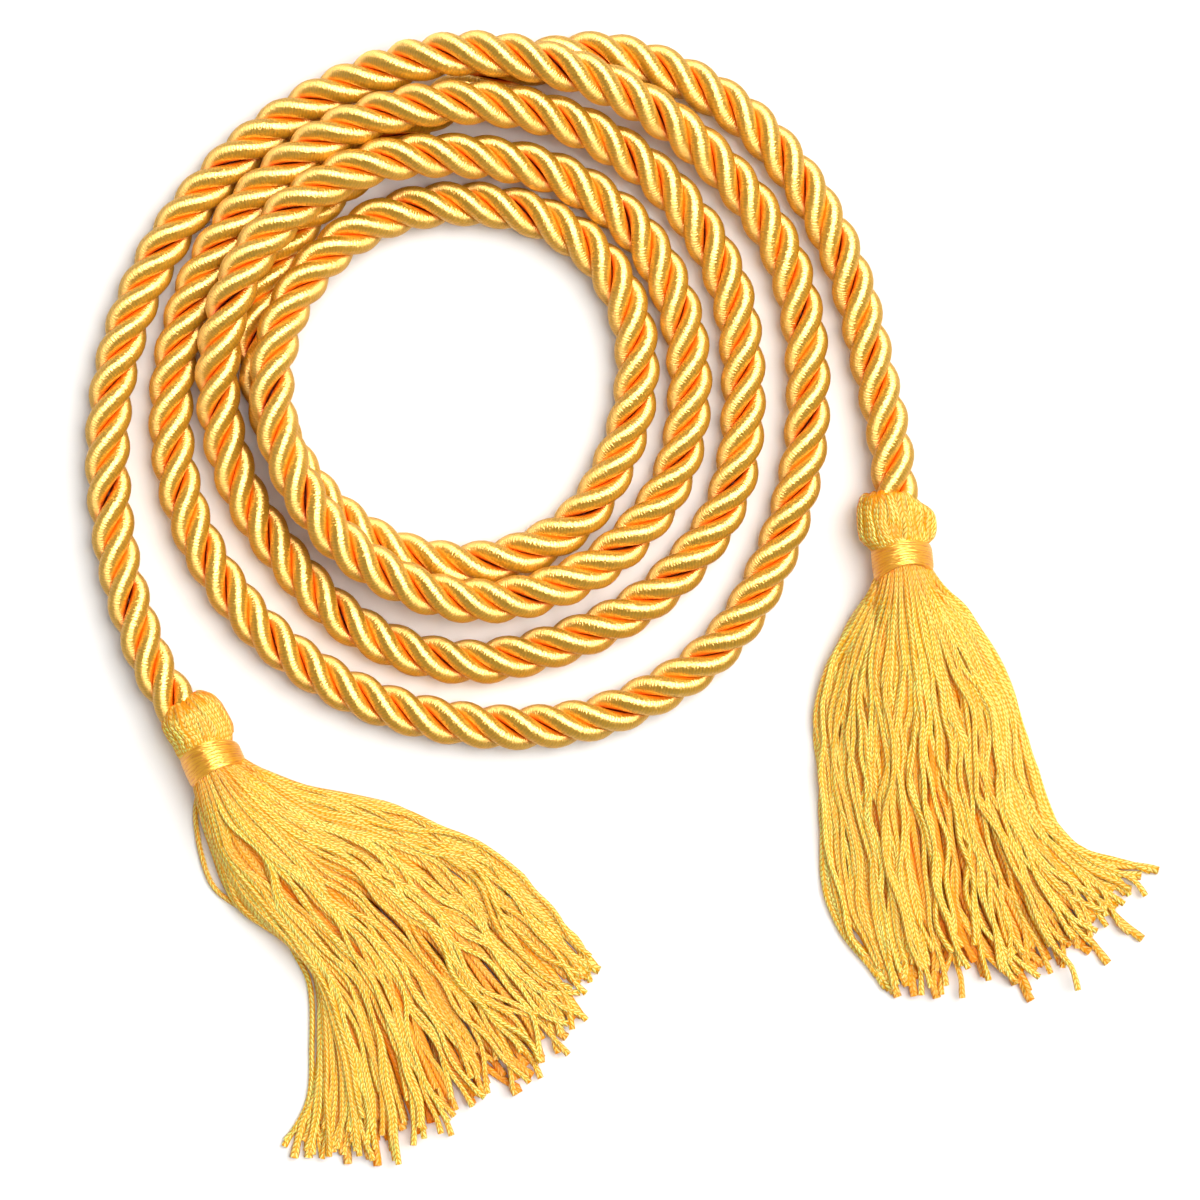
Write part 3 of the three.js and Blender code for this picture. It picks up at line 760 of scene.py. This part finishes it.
class HONOR_OT_bindings(bpy.types.Operator):
    """Wind fine yarn round the tassels' necks"""

    bl_idname = "honor.bindings"
    bl_label = "Bindings"

    STEPS = 96
    ROWS_A_TURN = 5
    ROUNDED_ENDS = 0.07  # how far the sleeve narrows at its ends, against its radius
    RIDGE_HEIGHT = 0.1  # against the pitch of the yarn
    WAVER = 0.3  # how far the turns waver along the neck, against the pitch

    def execute(self, context):
        tassel = context.scene.honor_tassel
        material = satin_binding(tassel)
        for number, side in enumerate(TASSELS):
            rng = np.random.default_rng(71 + number)
            piece = mesh_piece(f"binding_{side}", [self.sleeve(side, tassel, rng)], material)
            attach(piece, "root")
            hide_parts(f"band_{side}")
        return {"FINISHED"}

    def sleeve(self, side, tassel, rng):
        """A ridged sleeve round the neck, a ridge for each turn of yarn."""
        low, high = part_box(f"band_{side}")
        outer = (high.z - low.z) / 2
        inner = tassel.neck_diameter / 2
        turns = round(tassel.band_length / tassel.binding_pitch)
        rows = turns * self.ROWS_A_TURN + 1
        share = np.linspace(0, 1, rows)
        angle = 2 * np.pi * np.arange(self.STEPS) / self.STEPS
        along, around = np.meshgrid(share, angle, indexing="ij")
        pitch = tassel.binding_pitch
        bulge = 1 - self.ROUNDED_ENDS * (2 * along - 1) ** 4
        ridge = np.abs(np.sin(np.pi * turns * along))
        strength = 0.7 + 0.3 * np.sin(3 * around + 2.2 * np.floor(turns * along + 0.001))
        reach = outer * bulge - self.RIDGE_HEIGHT * pitch * (1 - ridge) * strength
        drift = self.WAVER * pitch * np.sin(2 * around + rng.uniform(0, 6))
        shape = TASSELS[side]
        upward = np.maximum(np.sin(around), 0) ** 1.5
        aside = reach * np.cos(around)
        low_edge, top_edge = (
            edge["shift"] * MM + edge["slope"] * aside + edge["arch"] * MM * upward
            for edge in (shape["low_edge"], shape["top_edge"])
        )
        y = low_edge + (tassel.band_length + top_edge - low_edge) * along + drift
        height = tassel_origin(side).z + reach * np.sin(around)
        places = np.stack([aside + shape["shear"] * y, y, height], axis=-1)
        inside = places[[0, -1]].copy()
        inside[..., 0] = inner * np.cos(angle) + shape["shear"] * inside[..., 1]
        inside[..., 2] = tassel_origin(side).z + inner * np.sin(angle)
        rings = np.concatenate([inside[:1], places, inside[1:]])
        vertices = to_frame(side, rings).reshape(-1, 3)
        row, place = np.meshgrid(np.arange(len(rings)), np.arange(self.STEPS), indexing="ij")
        next_row = (row + 1) % len(rings)
        corner = [(row, place), (next_row, place), (next_row, place + 1), (row, place + 1)]
        faces = np.stack([r * self.STEPS + p % self.STEPS for r, p in corner], axis=-1).reshape(-1, 4)
        spots = [np.stack([r * pitch / self.ROWS_A_TURN, p / self.STEPS], axis=-1) for r, p in corner]
        spots = np.stack(spots, axis=-2).reshape(-1, 2)
        return {"vertices": vertices, "faces": faces, "caps": [], "spots": spots}


class Skirt:
    """Where a tassel's skirt lies.

    spread runs from its left edge to its right one, and run from the band to the ends."""

    GRID = 96
    SLIT_REACH = 0.07  # how fast a slit's push fades, as a share of the skirt's width
    LEAST_MOUTH = 0.3 * MM  # half the height of the mouth at its sides

    def __init__(self, side, tassel):
        self.side = side
        self.tassel = tassel
        self.axis_height = tassel_origin(side).z
        shares = np.linspace(0, 1, self.GRID + 1)
        guides = [
            smooth_curve([(a, -l, 0) for a, l in zip(across, along)], shares)
            for across, along in TASSELS[side]["guides"]
        ]
        self.grid = tassel.skirt_length * np.stack(
            [smooth_curve([guide[row] for guide in guides], shares) for row in range(self.GRID + 1)], axis=1
        )

    def place(self, spread, run):
        """Across and along the tassel's axis, in metres. A spread past an edge carries straight on."""
        column = np.clip(spread, 0, 1) * self.GRID
        row = np.clip(run, 0, 1) * self.GRID
        left, top = (np.minimum(value.astype(int), self.GRID - 1) for value in (column, row))
        u, v = (column - left)[..., None], (row - top)[..., None]
        near = self.grid[left, top] * (1 - u) + self.grid[left + 1, top] * u
        far = self.grid[left, top + 1] * (1 - u) + self.grid[left + 1, top + 1] * u
        found = near * (1 - v) + far * v
        slope = (self.grid[left + 1, top] - self.grid[left, top]) * self.GRID
        over = (spread - np.clip(spread, 0, 1))[..., None]
        ahead = (self.grid[left, top + 1] - self.grid[left, top]) * self.GRID
        past = (run - np.clip(run, 0, 1))[..., None]
        return found + slope * over + ahead * past

    def width(self, run):
        """How wide the skirt is there, in metres."""
        ends = self.place(np.zeros_like(run), run), self.place(np.ones_like(run), run)
        return np.linalg.norm(ends[1] - ends[0], axis=-1)

    def part_at_slits(self, spread, run, upper):
        """The same thread, moved aside where it passes a slit."""
        for slit_spread, slit_run, long, wide, deep in TASSELS[self.side]["slits"]:
            if upper or deep:
                off = np.interp(slit_run, run, spread) - slit_spread
                near = np.exp(-(((run - slit_run) / long) ** 2))
                half = wide * MM / self.width(run) * near
                spread = spread + half * math.copysign(math.exp(-abs(off) / self.SLIT_REACH), off)
        return spread

    def heights(self, spread, run, across):
        """Lowest and highest the pile of threads reaches there."""
        steps = np.linspace(0, 1, len(PILE_CROWN))
        crown, edge = np.interp(run, steps, PILE_CROWN), np.interp(run, steps, PILE_EDGE)
        off_middle = np.clip(2 * spread - 1, -1, 1) ** 2
        pile = self.tassel.head_diameter * (crown + (edge - crown) * off_middle)
        mouth_radius = self.tassel.mouth_diameter / 2
        mouth = np.sqrt(np.maximum(mouth_radius**2 - across**2, self.LEAST_MOUTH**2))
        settled = np.clip(run / MOUTH_SHARE, 0, 1)
        settled = settled**2 * (3 - 2 * settled)
        top = (self.axis_height + mouth) * (1 - settled) + pile * settled
        foot = np.maximum(self.axis_height - mouth, 0) * (1 - settled)
        return foot, top


# The layers of threads, from the top of the pile down: how many threads, how many thread thicknesses down
# from the top, or up from the foot, how much they wander, how far their locks drift over each other, how
# thick they are, and how much of the inner colour they take as painted shade
LAYERS = [
    {"threads": 50, "down": 0.5, "from_foot": False, "stray": 1, "drift": 0.05, "thick": 1, "depth": 0},
    {"threads": 46, "down": 1.15, "from_foot": False, "stray": 0.8, "drift": 0.03, "thick": 1, "depth": 0.2},
    {"threads": 42, "down": 1.95, "from_foot": False, "stray": 0.2, "drift": 0, "thick": 1.35, "depth": 0.6},
    {"threads": 42, "down": 0.7, "from_foot": True, "stray": 0.5, "drift": 0, "thick": 1.35, "depth": 0.6},
]


class HONOR_OT_skirts(bpy.types.Operator):
    """Let the tassels' threads fall from their bands and spread on the surface"""

    bl_idname = "honor.skirts"
    bl_label = "Skirts"

    RINGS = 67
    SIDES = 8
    LOCKS = 13
    # how a thread wanders: millimetres to either side, and waves in a skirt's length; the first two go with
    # its lock, the others are its own
    WANDER = ((0.9, 1.3), (0.5, 2.9), (0.7, 2.1), (0.25, 6.3))
    FLARE = 0.15  # how much thinner a thread starts in the band, and how much thicker its cut end is
    UNEVEN_GAPS = 0.4  # against the gap between two threads
    UNEVEN_ENDS = 0.025  # against the skirt's length
    UNEVEN_DEPTH = 0.35  # against a thread's thickness
    BAND_TUCK = 4.4 * MM  # how far the threads reach up into the band

    def execute(self, context):
        tassel = context.scene.honor_tassel
        material = rayon_chainette("rayon_chainette_loose", tassel)
        for number, side in enumerate(TASSELS):
            rng = np.random.default_rng(11 + number)
            piece = self.threads(Skirt(side, tassel), rng, material)
            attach(piece, "root")
            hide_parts(f"tassel_{side}")
        return {"FINISHED"}

    def threads(self, skirt, rng, material):
        thread = skirt.tassel.thread
        shares = np.linspace(0, 1, self.RINGS)
        flare = 1 - self.FLARE * np.exp(-shares / 0.05) + self.FLARE * (shares > 0.98)
        lines, depths, radii = [], [], []
        for layer in LAYERS:
            lock_phase = rng.uniform(0, 2 * np.pi, (self.LOCKS + 1, 2))
            lock_reach = rng.uniform(-0.03, 0.02, self.LOCKS + 1)
            lock_drift = layer["drift"] * rng.standard_normal(self.LOCKS + 1)
            for index in range(layer["threads"]):
                home = index + 0.5 + self.UNEVEN_GAPS * layer["stray"] * rng.standard_normal()
                home = min(max(home / layer["threads"], 0.01), 0.99)
                lock = int(home * self.LOCKS)
                run = shares * (0.975 + lock_reach[lock] + self.UNEVEN_ENDS * rng.standard_normal())
                loose = np.clip(run / 0.35, 0, 1) ** 1.5
                phases = [*lock_phase[lock], *rng.uniform(0, 2 * np.pi, 2)]
                wander = sum(
                    side * np.sin(2 * np.pi * run * waves + phase)
                    for (side, waves), phase in zip(self.WANDER, phases)
                )
                tip = np.clip((run - 0.86) / 0.14, 0, 1) ** 2 * 1.8 * rng.standard_normal()
                drift = (lock_drift[lock] + 0.6 * layer["drift"] * rng.standard_normal()) * run**1.5
                # threads keep off the skirt's edges, where they would drift out of it
                inside = np.sin(np.pi * home)
                aside = (wander * loose * layer["stray"] + tip) * MM / skirt.width(run)
                spread = home + drift * inside + aside
                spread = skirt.part_at_slits(spread, run, layer["stray"] > 0.5)
                spread = np.clip(spread, -0.01, 1.01)
                place = skirt.place(spread, run)
                foot, top = skirt.heights(spread, run, place[:, 0])
                crowd = 1 - np.clip(run / 0.3, 0, 1)
                sunk = layer["down"] + (index % 3) * 0.7 * crowd
                sunk = (sunk + self.UNEVEN_DEPTH * rng.standard_normal() * loose) * thread
                radius = thread / 2 * layer["thick"] * flare
                height = np.maximum(foot + sunk if layer["from_foot"] else top - sunk, foot + radius)
                tucked = np.clip(1 - run / 0.035, 0, 1)
                gather = 1 - 0.3 * tucked
                x = place[:, 0] * gather
                y = place[:, 1] + self.BAND_TUCK * tucked
                z = skirt.axis_height + (height - skirt.axis_height) * gather
                lines.append(to_frame(skirt.side, np.stack([x, y, z], axis=-1)))
                radii.append(radius)
                # painted shade: deeper layers take the inner colour, less towards the skirt's edges, and
                # every thread takes more of it where it leaves the band, as if the band shaded it
                depths.append(layer["depth"] * inside + 0.5 * np.clip(1 - run / 0.07, 0, 1))
        for across, along in TASSELS[skirt.side]["strays"]:
            path = smooth_curve([(a, -l, 0) for a, l in zip(across, along)], shares)
            path = path * skirt.tassel.skirt_length
            path[:, 2] = thread * (0.6 + 1.2 * np.exp(-shares / 0.2))
            lines.append(to_frame(skirt.side, path))
            radii.append(thread / 2 * flare)
            depths.append(np.zeros(self.RINGS))
        lines = np.array(lines)
        # the line between two columns of loops faces up, more or less
        roll = 0.35 * rng.standard_normal(len(lines))
        turn = math.radians(TASSELS[skirt.side]["turn"])
        level = np.cos(roll)
        first = np.stack([level * math.cos(turn), level * math.sin(turn), np.sin(roll)], axis=-1)
        part = tubes(lines, np.array(radii), self.SIDES, side_vectors(lines, first))
        return mesh_piece(f"skirt_{skirt.side}", [part], material, np.repeat(depths, self.SIDES))


class HONOR_OT_stage(bpy.types.Operator):
    """Set the camera overhead, the three lamps, the white room and the paper floor"""

    bl_idname = "honor.stage"
    bl_label = "Stage"

    def execute(self, context):
        scene = context.scene
        stage = scene.honor_stage
        middle = coil_centre() + Vector((PHOTO_X * MM, PHOTO_Y * MM, 0))
        lens = bpy.data.cameras.new("camera")
        lens.lens = stage.lens
        lens.clip_start, lens.clip_end = 0.01, 20
        camera = bpy.data.objects.new("camera", lens)
        distance = PHOTO_WIDTH * MM * stage.lens / lens.sensor_width
        camera.location = middle + Vector((0, 0, scene.honor_rope.diameter + distance))
        scene.collection.objects.link(camera)
        scene.camera = camera
        # the softbox lights the colours and casts the shadows, a weak fill overhead reaches in between the
        # threads, and a brighter lamp beside the softbox lights only the gloss
        for name, size, power, reach, glossy in (
            ("softbox", stage.softbox, stage.power, Vector((1.25, 0.6, 2.65)), False),
            ("overhead_fill", stage.softbox, stage.overhead, Vector((0, 0, 3.2)), False),
            ("gloss_lamp", stage.gloss, stage.shine, Vector((0.66, 1.14, 2.7)), True),
        ):
            lamp = bpy.data.lights.new(name, "AREA")
            lamp.shape = "DISK"
            lamp.size = size
            lamp.energy = power
            light = bpy.data.objects.new(name, lamp)
            light.location = middle + reach
            light.rotation_mode = "QUATERNION"
            light.rotation_quaternion = reach.to_track_quat("Z", "Y")
            light.visible_camera = False
            light.visible_glossy = glossy
            light.visible_diffuse = not glossy
            light.visible_transmission = not glossy
            scene.collection.objects.link(light)
        self.room(scene, stage)
        scene.view_settings.view_transform = "Standard"
        self.floor(scene, middle, stage)
        return {"FINISHED"}

    def room(self, scene, stage):
        """White walls and a darker ceiling, which leaves a dark line beside each highlight."""
        world = bpy.data.worlds.new("white_room")
        world.use_nodes = True
        tree = world.node_tree
        view = add_node(tree, "ShaderNodeTexCoord")
        parts = add_node(tree, "ShaderNodeSeparateXYZ", {0: view.outputs["Generated"]})
        # the walls' brightness where a direction rises less than 0.35, the ceiling's where it rises over 0.85
        fading = {"Value": parts.outputs[2], "From Min": 0.35, "From Max": 0.85}
        fading |= {"To Min": stage.walls, "To Max": stage.ceiling}
        bright = add_node(tree, "ShaderNodeMapRange", fading)
        background = tree.nodes["Background"]
        background.inputs[0].default_value = (1, 1, 1, 1)
        tree.links.new(bright.outputs[0], background.inputs[1])
        scene.world = world

    def floor(self, scene, middle, stage):
        half = 4.0
        corners = [(-half, -half, 0), (half, -half, 0), (half, half, 0), (-half, half, 0)]
        mesh = bpy.data.meshes.new("paper_floor")
        mesh.from_pydata([Vector(c) + middle for c in corners], [], [(0, 1, 2, 3)])
        mesh.materials.append(matt_paper(stage))
        floor = bpy.data.objects.new("paper_floor", mesh)
        scene.collection.objects.link(floor)


class HONOR_PT_panel(bpy.types.Panel):
    """Every piece of the cord, in the order that they are made"""

    bl_idname = "HONOR_PT_panel"
    bl_label = "Honor Cord"
    bl_space_type = "VIEW_3D"
    bl_region_type = "UI"
    bl_category = "Honor Cord"

    def draw(self, context):
        for group in (context.scene.honor_rope, context.scene.honor_tassel, context.scene.honor_stage):
            box = self.layout.box()
            for name in group.__annotations__:
                box.prop(group, name)
        for operator in OPERATORS:
            self.layout.operator(operator.bl_idname)


SETTINGS = {"honor_rope": RopeSettings, "honor_tassel": TasselSettings, "honor_stage": StageSettings}
OPERATORS = [HONOR_OT_stage, HONOR_OT_rope, HONOR_OT_heads, HONOR_OT_bindings, HONOR_OT_skirts]


def register():
    for name, settings in SETTINGS.items():
        bpy.utils.register_class(settings)
        setattr(bpy.types.Scene, name, bpy.props.PointerProperty(type=settings))
    for operator in OPERATORS:
        bpy.utils.register_class(operator)
    bpy.utils.register_class(HONOR_PT_panel)


def unregister():
    bpy.utils.unregister_class(HONOR_PT_panel)
    for operator in reversed(OPERATORS):
        bpy.utils.unregister_class(operator)
    for name, settings in SETTINGS.items():
        delattr(bpy.types.Scene, name)
        bpy.utils.unregister_class(settings)


def main():
    register()
    bpy.ops.honor.stage()
    bpy.ops.honor.rope()
    bpy.ops.honor.heads()
    bpy.ops.honor.bindings()
    bpy.ops.honor.skirts()


if __name__ == "__main__":
    main()
